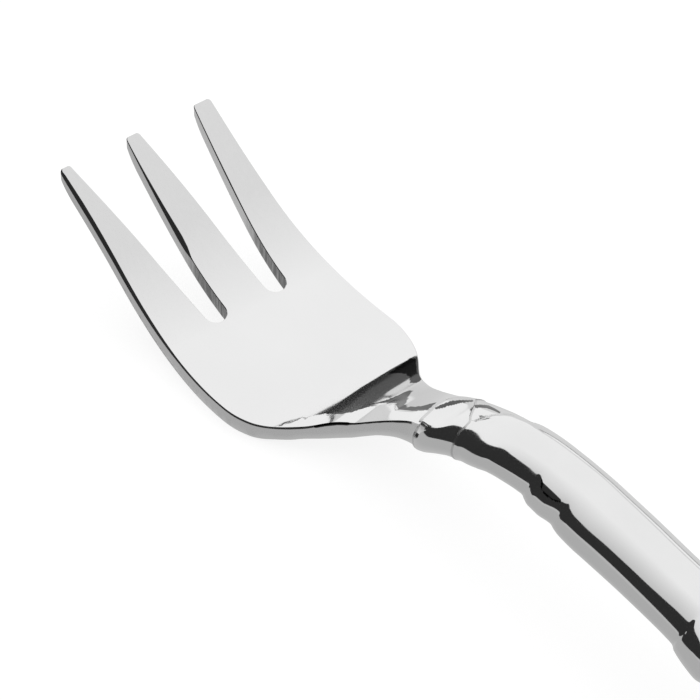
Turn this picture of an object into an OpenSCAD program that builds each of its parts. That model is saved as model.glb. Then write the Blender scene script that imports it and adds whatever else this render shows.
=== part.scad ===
// Oyster fork with three tines and a hollow, ringed handle, lying on its back.
// The tines point along +Y, the handle along -Y, and +Z is up off the table.
// The origin is on the table, under the middle of the fork.

/* [Fork] */
// Whole length, from the tips of the tines to the butt of the handle
overall_len = 145; // [138:1:160]

/* [Tines and plate] */
// Width over the outer tines, at their tips
tips_w = 16.8; // [15:0.1:18.5]
// Width of the plate at its shoulders, its widest place
plate_w = 19; // [18.7:0.1:22]
// Distance from the tips to the widest place
shoulder_d = 24.9; // [23:0.1:26]
// Thickness of the metal at the tips, measured upright
tip_t = 1.55; // [1.2:0.05:1.65]
// Thickness of the plate, measured upright
plate_t = 1.65; // [1.5:0.05:1.9]
// Slope of the straight part of the tines, in degrees
tine_slope = 33.4; // [28:0.2:36]
// Radius of the bend along the plate
belly_r = 27; // [25:0.5:29]
// Distance from the tips to the lowest place of the plate
belly_d = 24; // [23.5:0.1:25]
// Depth of the polished flat on which the plate rests
belly_flat_depth = 0.06; // [0.03:0.01:0.1]

/* [Slots] */
// Width of the middle tine at its tip
mid_tip_w = 1.4; // [1:0.1:1.8]
// Width of the middle tine where the slots end
mid_root_w = 4.5; // [3.8:0.1:5]
// Width of an outer tine at its tip
side_tip_w = 1.5; // [1:0.05:1.8]
// Distance from the tips to the closed end of a slot
slot_d = 16.6; // [15:0.1:18]
// Radius of the closed end of a slot
slot_r = 1.1; // [0.9:0.05:1.2]
// How far to the left of the middle both slots open between the tips
slot_shift_tip = 0.36; // [0:0.02:0.5]
// How far to the right of the middle both slots end
slot_shift_end = 0.18; // [0:0.02:0.3]

/* [Neck] */
// Distance from the tips to the crease where the plate turns up
crease_d = 31.3; // [30.5:0.1:32]
// Thickness of the metal at the crease
crease_t = 1.8; // [1.6:0.05:2.1]
// Distance from the tips to where the neck meets the collar
neck_d = 42.5; // [42:0.1:43]
// Width of the neck at the collar
neck_w = 6; // [5.4:0.1:6.2]
// Thickness of the neck at the collar
neck_t = 4.1; // [3.6:0.1:4.4]
// Height of the middle of the neck above the table, at the collar
neck_h = 7; // [6.6:0.1:7.4]

/* [Handle] */
// Width of the collar at its swollen front
collar_w = 6.7; // [6.3:0.1:7]
// Thickness of the collar at its swollen front
collar_t = 4.7; // [4.5:0.1:5]
// Distance from the tips to the mouth of the handle
mouth_d = 46.5; // [46:0.1:47]
// Width of the handle at its mouth, and of the back of the collar
mouth_w = 6; // [5.6:0.1:6.2]
// Thickness of the handle at its mouth, and of the back of the collar
mouth_t = 5; // [4.6:0.1:5.2]
// Distance from the tips to the crest of the handle
crest_d = 55.5; // [54:0.5:57]
// Height of the middle of the handle above the table, at the crest
crest_h = 11.35; // [10.5:0.05:12]
// Distance from the tips to where the handle starts its long fall
fall_d = 63; // [62:0.5:65]
// Height of the middle of the handle where it starts its long fall
fall_h = 10.45; // [9.5:0.05:10.8]
// Width of the handle where it starts its long fall
fall_w = 6.9; // [6.6:0.1:7.6]
// Thickness of the handle where it starts its long fall
fall_t = 5.1; // [4.8:0.1:5.6]
// Width of the handle at its butt
butt_w = 8.6; // [7.6:0.1:9.5]
// Thickness of the handle at its butt
butt_t = 4.6; // [4.2:0.1:5]
// Length of the rounded butt
butt_len = 7; // [5:0.5:9]
// Depth of the polished flat on which the handle rests
butt_flat_depth = 0.06; // [0.03:0.01:0.1]

/* [Rings] */
// Distance from the tips to the middle of the first pair of rings
ring_d = 59.35; // [59:0.05:60]
// Distance from the last pair of rings to the end of the butt
ring_end_len = 24.5; // [20:0.5:28]
// What each step between pairs adds to the one before
ring_growth = 2.2; // [0:0.1:3]
// Number of pairs of rings
ring_pairs = 4; // [1:1:4]
// Distance between the two rings of a pair
ring_gap = 3.7; // [3.2:0.1:4.4]
// Depth of a ring on the flank of the handle
ring_depth = 0.26; // [0.1:0.02:0.4]
// Distance from the bottom of a ring to its edge
ring_reach = 0.75; // [0.5:0.05:1]
// How much narrower the handle gets on the way to each pair of rings
node_waist = 0.35; // [0:0.05:0.6]
// How much wider the handle gets behind every pair of rings but the first
node_swell = 0.75; // [0:0.05:0.9]

/* [Shells, collar and tang] */
// Wall of the two handle shells
shell_wall = 0.7; // [0.5:0.05:0.9]
// How far the collar reaches over the neck on its left flank, ahead of neck_d
collar_lap = 0.2; // [0.1:0.1:0.4]
// Length of the collar on its left flank
collar_left_len = 5.8; // [4.8:0.1:6]
// Length of the collar on its right flank
collar_right_len = 0.7; // [0.5:0.1:1.5]
// How much further from the tips the collar starts on its right flank
collar_lean = 1.9; // [0.5:0.1:2]
// How far the collar stands out over the neck
collar_lip = 0.16; // [0.04:0.02:0.2]
// Width of the tang inside the handle
tang_w = 2.6; // [2:0.1:3]
// Thickness of the tang inside the handle
tang_t = 1.6; // [1.2:0.1:1.9]
// Distance from the tips to the end of the tang
tang_end_d = 104; // [80:1:115]

/* [Hidden] */

// Points round a cross-section of the metal and of the hollow, multiples of four
metal_n = 24;
hollow_n = 16;
// Points round the closed end of a slot
slot_n = 24;
// Greatest distance between cross-sections of the plate, handle and hollow
plate_step = 1.2;
handle_step = 1.6;
hollow_step = 2.4;
// Overrun of every cut past the metal that it cuts
overrun = 40;
// Exponents of a cross-section's outline: a flat plate and a rounded bar
flat_exponent = 9;
round_exponent = 2;
// Length over which the tips thicken to the plate's thickness
tip_len = 9;
// Length of the straight outer edge at the tips
tine_straight_len = 3;
// Length over which the handle narrows towards a pair of rings
waist_len = 12;
// Length over which the swelling behind a pair of rings fades
swell_len = 14;
// How deep the tang starts inside the neck, and how far blanks run on past their cuts
root_len = 5;

// Steepness of the edges of a slot at the tips and at its closed end
mid_flare_share = 0.18;
mid_root_share = 0.02;
side_flare_share = 0.22;
side_root_share = 0.05;
// Place and half width of the shoulders where their outline is steepest, and its steepness there
flank_d_share = 0.415;
flank_w_share = 0.57;
flank_fall_share = 0.72;
// Steepness of the top of the neck at the crease and at the slimmest place
crease_rise_share = 0.36;
neck_rise_share = 0.6;
// Steepness of the middle of the handle at the neck and at the start of its fall
handle_rise_share = 0.47;
handle_fall_share = 0.118;
// Size of the last cross-section of the butt, against the one before it rounds off
butt_end_share = 0.28;
// How much less the butt rounds off in thickness than in width
butt_round_share = 0.7;
// How much of the rounded butt the hollow takes
hollow_end_share = 0.75;
// Size of the tang's end, against its root
tang_end_share = 0.6;
// How much less the handle narrows in thickness than in width
waist_t_share = 0.7;
// Where the collar's borders leave the square, as shares of the half width
front_knee_share = 0.36;
back_knee_share = -0.45;

tine_end_d = belly_d - belly_r * sin(tine_slope);
flank_d = shoulder_d + flank_d_share * (neck_d - shoulder_d);
flank_half_w = neck_w / 2 + flank_w_share * (plate_w - neck_w) / 2;
butt_d = overall_len - butt_len;
hollow_end_d = butt_d + hollow_end_share * butt_len;
slot_x = mid_root_w / 2 + slot_r;
slot_end_d = slot_d - slot_r;
front_left_d = neck_d - collar_lap;
front_right_d = front_left_d + collar_lean;
back_left_d = front_left_d + collar_left_len;
back_right_d = front_right_d + collar_right_len;
root_d = front_left_d - root_len;
blank_end_d = back_left_d + root_len;

// Distance from the first pair of rings to the second, so that all steps fill the handle
ring_steps = max(ring_pairs - 1, 1);
ring_step = (overall_len - ring_end_len - ring_d) / ring_steps - ring_growth * (ring_steps - 1) / 2;

// Distances from the tips to the middle of every pair of rings, and to every ring
pairs_d = [
    for (p = [0 : ring_pairs - 1]) ring_d + p * ring_step + ring_growth * p * (p - 1) / 2
];
rings_d = [for (c = pairs_d, side = [-1, 1]) c + side * ring_gap / 2];

// Place along Y at a distance from the tips
function y_at(d) = overall_len / 2 - d;

// Cubic from v0 at u0 to v1 at u1, with slopes s0 and s1, held flat beyond both ends
function curve(u, u0, v0, s0, u1, v1, s1) =
    let (span = u1 - u0, t = min(max((u - u0) / span, 0), 1))
    (2 * t ^ 3 - 3 * t ^ 2 + 1) * v0
        + (t ^ 3 - 2 * t ^ 2 + t) * span * s0
        + (3 * t ^ 2 - 2 * t ^ 3) * v1
        + (t ^ 3 - t ^ 2) * span * s1;

// Places from the first mark to the last, each mark kept, none further apart than step
function stations(marks, step) = [
    for (i = [0 : len(marks) - 2])
        let (gap = marks[i + 1] - marks[i], count = max(1, ceil(gap / step)))
        for (j = [0 : count - 1]) marks[i] + gap * j / count,
    marks[len(marks) - 1]
];

// Head: half width, height of the top, thickness and outline exponent
function head_half_w(d) =
    d < shoulder_d ? curve(d, tine_straight_len, tips_w / 2, 0, shoulder_d, plate_w / 2, 0)
    : d < flank_d ? curve(d, shoulder_d, plate_w / 2, 0, flank_d, flank_half_w, -flank_fall_share)
    : curve(d, flank_d, flank_half_w, -flank_fall_share, neck_d, neck_w / 2, 0);

function bend_h(d) =
    plate_t - belly_flat_depth + belly_r - sqrt(belly_r ^ 2 - (d - belly_d) ^ 2);

function head_top(d) =
    d < tine_end_d ? bend_h(tine_end_d) + (tine_end_d - d) * tan(tine_slope)
    : d < crease_d ? bend_h(d)
    : curve(d, crease_d, bend_h(crease_d), crease_rise_share,
            neck_d, neck_h + neck_t / 2, neck_rise_share);

function head_t(d) =
    d < tip_len ? curve(d, 0, tip_t, 0, tip_len, plate_t, 0)
    : d < crease_d ? curve(d, belly_d, plate_t, 0, crease_d, crease_t, 0)
    : curve(d, crease_d, crease_t, 0, neck_d, neck_t, 0);

function head_exponent(d) = curve(d, crease_d, flat_exponent, 0, neck_d, round_exponent, 0);

// Edges of a slot: half width of the middle tine, and inner edge of an outer tine, both
// measured from a line that runs from slot_shift_tip on the left to slot_shift_end on the right
function slot_shift(d) = curve(d, 0, -slot_shift_tip, 0, slot_end_d, slot_shift_end, 0);

function mid_edge(d) =
    curve(d, 0, mid_tip_w / 2, mid_flare_share, slot_end_d, slot_x - slot_r, mid_root_share);

function side_edge(d) =
    curve(d, 0, tips_w / 2 - side_tip_w, -side_flare_share,
          slot_end_d, slot_x + slot_r, -side_root_share);

// How far a place lies past a ring, from 0 before it to 1 behind it
function past(d, ring) = curve(d, ring - ring_reach, 0, 0, ring + ring_reach, 1, 0);

// Narrowing of the handle towards a pair of rings, given back in two steps at the rings
function waist(d) =
    node_waist * max([
        for (c = pairs_d)
            let (first = c - ring_gap / 2, second = c + ring_gap / 2)
            let (t = min(max(1 - (first - d) / waist_len, 0), 1))
            t ^ 2 * (1 - (past(d, first) + past(d, second)) / 2)
    ]);

// Swelling of the handle behind every pair of rings but the first
function swell(d) =
    node_swell * max([
        for (c = pairs_d)
            c == ring_d ? 0
            : curve(d, c - ring_gap, 0, 0, c, 1, 0) * curve(d, c, 1, 0, c + swell_len, 0, 0)
    ]);

// Handle, from the collar on: half width, half thickness and height of its middle
function rounding(d) =
    let (t = max(d - butt_d, 0) / butt_len)
    sqrt(1 - (1 - butt_end_share ^ 2) * t ^ 2);

function handle_half_w(d) =
    ((d < mouth_d ? curve(d, neck_d, collar_w, 0, mouth_d, mouth_w, 0)
        : d < fall_d ? curve(d, mouth_d, mouth_w, 0, fall_d, fall_w, 0)
        : curve(d, fall_d, fall_w, 0, butt_d, butt_w, 0)) - waist(d) + swell(d)) / 2
        * rounding(d);

function handle_half_t(d) =
    ((d < mouth_d ? curve(d, neck_d, collar_t, 0, mouth_d, mouth_t, 0)
        : d < fall_d ? curve(d, mouth_d, mouth_t, 0, fall_d, fall_t, 0)
        : curve(d, fall_d, fall_t, 0, butt_d, butt_t, 0))
        + waist_t_share * (swell(d) - waist(d))) / 2
        * rounding(d) ^ butt_round_share;

function handle_h(d) =
    d < neck_d ? head_top(d) - head_t(d) / 2
    : d < crest_d ? curve(d, neck_d, neck_h, handle_rise_share, crest_d, crest_h, 0)
    : d < fall_d ? curve(d, crest_d, crest_h, 0, fall_d, fall_h, -handle_fall_share)
    : curve(d, fall_d, fall_h, -handle_fall_share,
            butt_d, butt_t / 2 - butt_flat_depth, 0);

// Depth of the rings at a place along the handle
function ring_cut(d) =
    ring_depth * max([for (r = rings_d) max(1 - abs(d - r) / ring_reach, 0) ^ 2]);

// Point at angle a of a cross-section of the given half sizes, pressed in at its flanks
function outline(a, half_w, half_t, exponent, press = 0) = [
    sign(cos(a)) * (half_w * abs(cos(a)) ^ (2 / exponent) - press * cos(a) ^ 2),
    sign(sin(a)) * half_t * abs(sin(a)) ^ (2 / exponent)
];

// Cross-section of the handle at d, from angle a0 to a1, made larger or smaller by grow
function handle_ring(d, a0, a1, n, grow = 0, press = 0) = [
    for (i = [0 : n])
        let (p = outline(a0 + (a1 - a0) * i / n, handle_half_w(d) + grow,
                         handle_half_t(d) + grow, round_exponent, press))
        [p[0], y_at(d), handle_h(d) + p[1]]
];

function full_ring(d, n, grow = 0) = handle_ring(d, 0, 360 - 360 / n, n - 1, grow);

// Closed solid through cross-sections that all have as many points
module loft(sections) {
    n = len(sections[0]);
    last = len(sections) - 1;
    sides = [
        for (i = [0 : last - 1], j = [0 : n - 1])
            let (a = i * n + j, b = i * n + (j + 1) % n)
            each [[a, b + n, b], [a, a + n, b + n]]
    ];
    front = [for (j = [0 : n - 1]) j];
    back = [for (j = [n - 1 : -1 : 0]) last * n + j];
    polyhedron(points = [for (s = sections) each s], faces = concat(sides, [front, back]));
}

// All that lies above the table
module above_table() {
    translate([-overrun, -overall_len, 0])
        cube([2 * overrun, 2 * overall_len, overrun]);
}

// All that lies behind a border that crosses the handle squarely from the left flank, up to
// a knee, and then slants to its place on the right flank
module behind_border(left_d, knee_share, right_d) {
    half_w = mouth_w / 2;
    translate([0, 0, -overrun])
        linear_extrude(2 * overrun)
            polygon([
                [-overrun, y_at(left_d)],
                [-overrun, y_at(overall_len + overrun)],
                [overrun, y_at(overall_len + overrun)],
                [overrun, y_at(right_d)],
                [half_w, y_at(right_d)],
                [knee_share * half_w, y_at(left_d)]
            ]);
}

module behind_front() {
    behind_border(front_left_d, front_knee_share, front_right_d);
}

module behind_back() {
    behind_border(back_left_d, back_knee_share, back_right_d);
}

// Tang: a tapering flat bar along the middle of the handle
module tang() {
    loft([
        for (d = stations([root_d, tang_end_d], hollow_step))
            let (size = curve(d, root_d, 1, 0, tang_end_d, tang_end_share, 0))
            let (x = size * tang_w / 2, z = size * tang_t / 2)
            [for (p = [[x, -z], [x, z], [-x, z], [-x, -z]]) [p[0], y_at(d), handle_h(d) + p[1]]]
    ]);
}

// Space inside the two shells
module hollow() {
    loft([
        for (d = stations([neck_d, butt_d, hollow_end_d], hollow_step))
            full_ring(d, hollow_n, -shell_wall)
    ]);
}

// Slot between the middle tine and the outer tine on one side
module slot(side) {
    places = stations([0, slot_end_d], plate_step);
    mid_side = [for (d = places) [slot_shift(d) + side * mid_edge(d), y_at(d)]];
    outer_side = [
        for (i = [len(places) - 1 : -1 : 0])
            let (d = places[i])
            [slot_shift(d) + side * side_edge(d), y_at(d)]
    ];
    past_tips = [
        [slot_shift(0) + side * side_edge(0), y_at(-overrun)],
        [slot_shift(0) + side * mid_edge(0), y_at(-overrun)]
    ];
    translate([0, 0, -overrun])
        linear_extrude(2 * overrun) {
            polygon(concat(mid_side, outer_side, past_tips));
            translate([slot_shift_end + side * slot_x, y_at(slot_end_d)])
                circle(r = slot_r, $fn = slot_n);
        }
}

// Plate, tines and neck before the slots are cut
module head_blank() {
    loft([
        for (d = stations([0, tip_len, crease_d, neck_d, blank_end_d], plate_step))
            [
                for (i = [0 : metal_n - 1])
                    let (p = outline(360 * i / metal_n, head_half_w(d), head_t(d) / 2,
                                     head_exponent(d)))
                    [p[0], y_at(d), handle_h(d) + p[1]]
            ]
    ]);
}

module fork_head() {
    color("gainsboro")
        union() {
            difference() {
                intersection() {
                    head_blank();
                    above_table();
                }
                slot(-1);
                slot(1);
                behind_front();
            }
            tang();
        }
}

module collar() {
    color("silver")
        difference() {
            intersection() {
                loft([
                    for (d = stations([root_d, blank_end_d], handle_step))
                        full_ring(d, metal_n, collar_lip)
                ]);
                behind_front();
            }
            behind_back();
            tang();
        }
}

// One half of the handle's skin, above or below the seam
module shell(a0, a1) {
    marks = [
        root_d,
        for (r = rings_d, s = [-1, -1 / 2, 0, 1 / 2, 1]) r + s * ring_reach,
        butt_d,
        overall_len
    ];
    difference() {
        intersection() {
            loft([
                for (d = stations(marks, handle_step))
                    handle_ring(d, a0, a1, metal_n / 2, 0, ring_cut(d))
            ]);
            behind_back();
            above_table();
        }
        hollow();
    }
}

module upper_shell() {
    color("gainsboro") shell(0, 180);
}

module lower_shell() {
    color("lightgray") shell(180, 360);
}

module handle_filler() {
    color("tan")
        difference() {
            intersection() {
                hollow();
                behind_back();
            }
            tang();
        }
}

fork_head();
collar();
upper_shell();
lower_shell();
handle_filler();
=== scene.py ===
"""Oyster fork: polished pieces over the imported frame, and the studio that they reflect."""

import math

import bpy
import numpy as np
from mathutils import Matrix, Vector


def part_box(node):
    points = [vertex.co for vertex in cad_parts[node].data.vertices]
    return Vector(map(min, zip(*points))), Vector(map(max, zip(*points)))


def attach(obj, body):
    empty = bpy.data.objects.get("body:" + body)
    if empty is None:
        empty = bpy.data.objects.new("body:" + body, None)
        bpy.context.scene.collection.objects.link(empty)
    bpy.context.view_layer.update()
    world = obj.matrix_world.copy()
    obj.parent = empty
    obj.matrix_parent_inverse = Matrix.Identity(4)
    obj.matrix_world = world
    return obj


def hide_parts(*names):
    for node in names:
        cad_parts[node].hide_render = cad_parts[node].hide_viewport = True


bl_info = {
    "name": "Oyster fork",
    "version": (1, 0, 0),
    "blender": (4, 5, 0),
    "location": "3D View > Sidebar > Fork",
    "description": "Models a polished three-tined oyster fork and its studio",
    "category": "Add Mesh",
}

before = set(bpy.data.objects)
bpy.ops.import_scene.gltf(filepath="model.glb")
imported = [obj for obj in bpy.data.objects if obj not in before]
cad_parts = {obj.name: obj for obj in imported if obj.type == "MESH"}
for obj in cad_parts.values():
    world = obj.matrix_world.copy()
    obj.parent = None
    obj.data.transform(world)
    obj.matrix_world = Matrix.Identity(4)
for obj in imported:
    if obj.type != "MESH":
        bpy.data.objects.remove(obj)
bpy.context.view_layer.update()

MM = 0.001
TIPS_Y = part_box("fork_head")[1][1]
OVERALL_LEN = TIPS_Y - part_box("upper_shell")[0][1]


def length(name, description, default):
    return bpy.props.FloatProperty(
        name=name, description=description, default=default * MM,
        subtype="DISTANCE", unit="LENGTH", precision=5,
    )


def angle(name, description, default):
    return bpy.props.FloatProperty(
        name=name, description=description, default=math.radians(default),
        subtype="ANGLE", unit="ROTATION",
    )


def share(name, description, default):
    return bpy.props.FloatProperty(
        name=name, description=description, default=default, subtype="FACTOR", min=0, max=1)


def grey(name, description, default):
    return tint(name, description, (default, default, default))


def tint(name, description, default):
    return bpy.props.FloatVectorProperty(
        name=name, description=description, default=default,
        subtype="COLOR", size=3, min=0, max=1,
    )


# ---- Sizes and finishes -----------------------------------------------------------------


class HeadSizes(bpy.types.PropertyGroup):
    """Sizes of the plate, the tines and the neck, along and across the fork"""

    tips_w: length("Width at tips", "Width over the outer tines, at their tips", 16.8)
    plate_w: length("Plate width", "Width of the plate at its shoulders", 19)
    shoulder_d: length("Shoulders", "Distance from the tips to the widest place", 24.9)
    tip_t: length("Tip thickness", "Thickness of the metal at the tips, upright", 1.55)
    plate_t: length("Plate thickness", "Thickness of the plate, upright", 1.65)
    belly_r: length("Bend radius", "Radius of the bend along the plate", 27)
    belly_d: length("Lowest place", "Distance from the tips to the lowest place", 24)
    belly_flat: length("Belly flat", "Depth of the flat on which the plate rests", 0.06)
    tine_slope: angle("Tine slope", "Slope of the straight part of the tines", 33.4)
    mid_tip_w: length("Middle tip", "Width of the middle tine at its tip", 1.4)
    mid_root_w: length("Middle root", "Width of the middle tine between the slots", 4.5)
    side_tip_w: length("Side tip", "Width of an outer tine at its tip", 1.5)
    slot_d: length("Slot end", "Distance from the tips to the end of a slot", 16.6)
    slot_r: length("Slot radius", "Radius of the closed end of a slot", 1.1)
    tip_r: length("Tip corner", "Radius of the corners of a tine's tip", 0.33)
    slot_shift_tip: length("Slot shift at tips", "How far off centre the slots open", -0.37)
    slot_shift_end: length("Slot shift at ends", "How far off centre the slots end", 0.18)
    crease_d: length("Crease", "Distance from the tips to the crease", 31.3)
    neck_w: length("Neck width", "Width of the neck at the collar", 5.32)
    under_round: length("Under edge", "Rounding of the lower edges", 0.15)


class HandleSizes(bpy.types.PropertyGroup):
    """Sizes of the collar and the handle"""

    collar_d: length("Collar", "Distance from the tips to the collar's front", 42.5)
    collar_w: length("Collar width", "Width of the plain oval at the collar's front", 5.7)
    collar_t: length("Collar thickness", "Thickness of that oval", 3.5)
    collar_h: length("Collar height", "Height of that oval's middle", 7.1)
    mouth_d: length("Mouth", "Distance from the tips to the mouth of the handle", 46.5)
    mouth_w: length("Mouth width", "Width at the mouth of the handle", 6.3)
    mouth_t: length("Mouth thickness", "Thickness at the mouth of the handle", 3.7)
    crest_d: length("Crest", "Distance from the tips to the crest", 55.5)
    crest_h: length("Crest height", "Height of the handle's middle at the crest", 11.35)
    crest_w: length("Crest width", "Width of the plain oval at the crest", 6.7)
    crest_t: length("Crest thickness", "Thickness of that oval", 4.4)
    fall_d: length("Fall", "Distance from the tips to the start of the long fall", 63)
    fall_h: length("Fall height", "Height of the handle's middle there", 10.45)
    fall_w: length("Fall width", "Width of the handle there", 6.9)
    fall_t: length("Fall thickness", "Thickness of the handle there", 5.1)
    butt_w: length("Butt width", "Width of the handle at its butt", 8.6)
    butt_t: length("Butt thickness", "Thickness of the handle at its butt", 4.6)
    butt_len: length("Butt length", "Length of the rounded butt", 7)
    butt_flat: length("Butt flat", "Depth of the flat on which the butt rests", 0.06)
    wall: length("Wall", "Wall of the two shells", 0.7)
    lip: length("Lip", "How far the leading edge of a sheath stands out", 0.22)
    lip_len: length("Lip length", "Length over which the lip fades", 0.55)


class Finishes(bpy.types.PropertyGroup):
    """Colours of the steel and of the cement inside the handle"""

    head_steel: grey("Head", "Polished steel of the plate and the neck", 0.83)
    head_cut: grey("Head edges", "Cut edges of the plate and the tines", 0.74)
    handle_steel: grey("Handle", "Polished steel of the collar and the handle", 0.82)
    collar_cut: grey("Collar edges", "Front lip of the collar", 0.66)
    handle_cut: grey("Handle edges", "Front lip and chased line of the handle", 0.62)
    # The next two colours are painted dark reflections, on the neck and the collar, and on the
    # handle
    stain: grey("Painted_reflection", "Darkened places of the neck and the collar", 0.03)
    handle_painted_reflection: grey("Handle stain", "Darkened places of the handle", 0.08)
    cement: tint("Cement", "Hard cement round the tang", (0.46, 0.38, 0.28))
    head_cloud: share("Head cloudiness", "How much the polish of the head varies", 0.03)
    handle_cloud: share("Handle cloudiness", "How much the polish of the handle varies", 0.07)


# ---- Curves -----------------------------------------------------------------------------


def cubic(t, v0, s0, v1, s1):
    """Cubic from v0 to v1 while t goes from 0 to 1, with slopes s0 and s1, held beyond both."""
    t = np.clip(t, 0, 1)
    return (
        (2 * t**3 - 3 * t**2 + 1) * v0
        + (t**3 - 2 * t**2 + t) * s0
        + (3 * t**2 - 2 * t**3) * v1
        + (t**3 - t**2) * s1
    )


def curve(u, u0, v0, s0, u1, v1, s1):
    """Cubic from v0 at u0 to v1 at u1 with slopes s0 and s1, held flat beyond both ends."""
    span = u1 - u0
    return cubic((u - u0) / span, v0, span * s0, v1, span * s1)


def chain(u, places, values, slopes):
    """Cubics one after the other through values at places, with the slopes there."""
    knots = list(zip(places, values, slopes))
    joined = curve(u, *knots[0], *knots[1])
    for before, after in zip(knots[1:], knots[2:]):
        joined = np.where(u < before[0], joined, curve(u, *before, *after))
    return joined


def smooth(u, places, values):
    """Smooth curve through values at places, in mm, that never overshoots them."""
    at = np.asarray(u) / MM
    steps = np.diff(places)
    rates = np.diff(values) / steps
    slopes = np.zeros(len(places))
    same = rates[:-1] * rates[1:] > 0
    slopes[1:-1][same] = 2 / (1 / rates[:-1][same] + 1 / rates[1:][same])
    i = np.clip(np.searchsorted(places, at) - 1, 0, len(steps) - 1)
    step = steps[i]
    return MM * cubic((at - places[i]) / step, values[i], step * slopes[i],
                      values[i + 1], step * slopes[i + 1])


def through(u, places, values):
    """Straight lines through values at places, where only the places are in mm."""
    return np.interp(u, np.asarray(places) * MM, values)


def line(u, places, values):
    """Straight lines through values at places, both in mm."""
    return np.interp(u, np.asarray(places) * MM, np.asarray(values) * MM)


def ease(t):
    """Smooth rise from 0 to 1, held beyond both ends."""
    t = np.clip(t, 0, 1)
    return t * t * (3 - 2 * t)


def smooth_step(u, start, stop):
    """0 before start, 1 after stop, both in mm, with a smooth rise between."""
    return ease((u / MM - start) / (stop - start))


def inside(x, d, outline):
    """1 inside an outline of points in mm, 0 outside."""
    x, d = x / MM, d / MM
    crossings = np.zeros_like(x)
    for (x0, d0), (x1, d1) in zip(outline, np.roll(outline, -1, axis=0)):
        spans = (d0 > d) != (d1 > d)
        meets = x0 + (d - d0) * (x1 - x0) / (d1 - d0 + 1e-12)
        crossings += spans & (x < meets)
    return crossings % 2


# ---- Form of the head -------------------------------------------------------------------

# Distances from the tips and along the fork are D, in mm here and in metres in the formulas
# Straight part of the outer edges at the tips, in mm
TINE_STRAIGHT_LEN = 3
# How fast the edges of the middle and the outer tines flare, at the tips and at the slots' end
MID_FLARE = (0.18, 0.02)
SIDE_FLARE = (-0.22, -0.05)
# Where the slots stop drifting to the right, in mm, and how fast they drift at the tips
SLOT_DRIFT_END_D = 14
SLOT_DRIFT = 0.05
# Lengths over which the tips sharpen and thicken, in mm, and what is left at their very end
SHARPEN_LEN = 2
THICKEN_LEN = 9
SHARP_SHARE = 0.4

# Flank from the shoulder to the collar: share of the plate's extra width left at each place
FLANK_D = np.array([24.9, 26, 28, 29, 30, 31, 32, 33, 34, 35, 36, 37, 38, 39, 40, 41, 42, 43, 46])
FLANK_SHARE = np.array([1, .990, .924, .867, .792, .700, .591, .474, .365, .279, .213, .155,
                        .108, .070, .037, .015, .003, .025, .04])

# How much flatter than its bend the plate runs on, and the ramp's slope behind the crease
DIP_D = np.array([24.5, 26, 28, 29, 30, 31, 33, 34])
DIP = np.array([0, 0.06, 0.20, 0.23, 0.21, 0.18, 0.14, 0.14])
RAMP_RUN = np.array([0, 0.6, 2.6, 2.9, 3.1, 4.3, 4.7, 8.7, 9.7, 10.7, 11.7, 16.0])
RAMP_SLOPE = np.array([0.35, 0.38, 0.44, 0.46, 0.48, 0.50, 0.60, 0.61, 0.57, 0.52, 0.50, 0.48])

# How much lower the ramp's left half runs where it steepens
LATE_RUN = [2.6, 4.0, 7.0]
LATE_FALL = [0.0, 0.08, 0.0]
LATE_HALF_WIDTH = 1.8

# The crease across the fork, against its place on the middle line
CREASE_SHIFT_X = np.array([-9.5, -6, -3.9, -2.5, -1.2, 0.0, 0.9, 2.6, 4.5, 6.0, 9.5])
CREASE_SHIFT = np.array([1.4, 1.2, 0.85, 0.5, 0.18, -0.06, -0.22, -0.36, -0.52, -0.56, -0.56])

# The border between the ramp and the strip on its left, and its softness
BORDER_D = [30.0, 31.0, 32.4, 33.4, 34.2, 34.7, 35.2, 35.7, 36.5, 37.6, 38.8, 40.5, 41.8, 46]
BORDER_X = [-8.1, -5.8, -4.1, -3.8, -3.35, -2.7, -1.9, -1.3, -0.85, -0.65, -1.4, -1.3, -0.85, -0.8]
BORDER_SOFT = 0.12

# How much of the crease's slant the ramp and the strip lose again, and between which places
SLANT_SHARE = 0.3
RAMP_SLANT_D = (34.5, 38)
STRIP_SLANT_D = (32.2, 34.7)

# How steeply the strip climbs to the right and where that begins, and how far the ramp's left
# border stands above its right edge
STRIP_TILT = 0.19
STRIP_TILT_D = (29.5, 31.6)
CROWN_D = [35.6, 38.4, 42.0, 46]
CROWN = [0.0, 0.22, 0.20, 0.20]

# Outline of the painted dark reflection in the angle between the ramp and the collar, as X and D
NECK_PAINTED_REFLECTION = np.array([
    (-0.80, 34.24), (0.32, 35.12), (1.32, 35.52), (2.24, 35.52), (2.52, 36.12), (1.56, 36.84),
    (-0.04, 38.24), (-0.56, 39.12), (-0.20, 40.40), (0.48, 40.92), (0.88, 41.20), (-0.20, 41.72),
    (-0.90, 42.00), (-1.34, 40.84), (-1.34, 38.84), (-0.08, 37.08), (0.08, 36.76), (0.00, 35.50)])

# Outline of the painted dark reflection in the ramp's right-hand corner, as X and D
CORNER = np.array([
    (7.12, 30.60), (5.00, 30.96), (3.88, 31.20), (4.56, 32.04), (4.60, 32.80), (4.28, 33.68),
    (3.52, 34.60), (3.88, 35.40), (4.32, 35.24), (5.04, 34.04), (5.92, 32.72), (6.80, 31.52)])

# Thickness of the neck and the power of its lower half's section
NECK_D = np.array([28, 30, 32, 34, 36, 38, 39, 40, 41, 42, 43, 46])
NECK_T = np.array([1.60, 1.55, 1.70, 2.05, 2.15, 2.15, 2.26, 2.46, 2.80, 3.20, 3.5, 3.6])
NECK_POWER = np.array([40, 12, 5, 4, 3.5, 3, 3, 3, 3, 3, 3, 3])


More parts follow.
